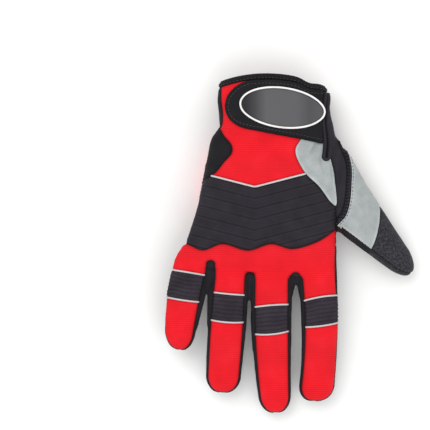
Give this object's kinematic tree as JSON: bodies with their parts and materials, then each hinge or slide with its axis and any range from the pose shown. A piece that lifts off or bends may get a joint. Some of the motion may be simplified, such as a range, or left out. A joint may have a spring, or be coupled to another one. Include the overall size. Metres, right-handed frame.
{
  "type": "longboard slide glove",
  "caption": "Right-hand slide glove with a round slide puck on the palm, a wrist strap, a quilted back pad and padded knuckle bands.",
  "frame": {"origin": "centre of the slide puck's sliding face, which lies on the ground", "axes": "+X towards the thumb, -Y towards the fingertips, +Z out of the back of the hand"},
  "size_m": [0.1788, 0.2449, 0.042],
  "materials": {
    "red_cloth": "ribbed stretch knit",
    "black_cloth": "matte knit",
    "black_leather": "matte synthetic leather",
    "charcoal_cloth": "pebbled grip cloth",
    "grey_suede": "microfibre suede",
    "piping": "satin",
    "badge": "satin",
    "badge_rim": "satin",
    "hook_loop": "hook and loop",
    "puck": "satin cast"
  },
  "bodies": {
    "root": {"cuff_binding": "black_cloth", "wrist_back_panel": "red_cloth", "wrist_side_panel": "black_cloth", "wrist_strap": "black_cloth", "strap_badge": "badge", "strap_badge_rim": "badge_rim", "slit_binding": "black_cloth", "web_patch": "grey_suede", "thumb_saddle": "black_cloth", "thumb_grip_patch": "grey_suede", "thumb_tip_back": "charcoal_cloth", "thumb_gusset": "black_cloth", "thumb_palm": "black_leather", "chevron_piping": "piping", "chevron_pad": "black_cloth", "knuckle_back_panel": "red_cloth", "index_upper_piping": "piping", "index_knuckle_band": "black_cloth", "index_lower_piping": "piping", "index_tip_back": "red_cloth", "index_tip_palm": "black_leather", "middle_upper_piping": "piping", "middle_knuckle_band": "black_cloth", "middle_lower_piping": "piping", "middle_tip_back": "red_cloth", "middle_tip_palm": "black_leather", "ring_upper_piping": "piping", "ring_knuckle_band": "black_cloth", "ring_lower_piping": "piping", "ring_tip_back": "red_cloth", "ring_tip_palm": "black_leather", "little_upper_piping": "piping", "little_knuckle_band": "black_cloth", "little_lower_piping": "piping", "little_tip_back": "red_cloth", "little_tip_palm": "black_leather", "ring_little_gusset": "black_cloth", "middle_ring_gusset": "black_cloth", "index_middle_gusset": "black_cloth", "wrist_palm_panel": "black_leather", "palm_panel": "black_leather", "palm_loop_patch": "hook_loop", "puck_hook_disc": "hook_loop", "slide_puck": "puck"}
  },
  "joints": []
}
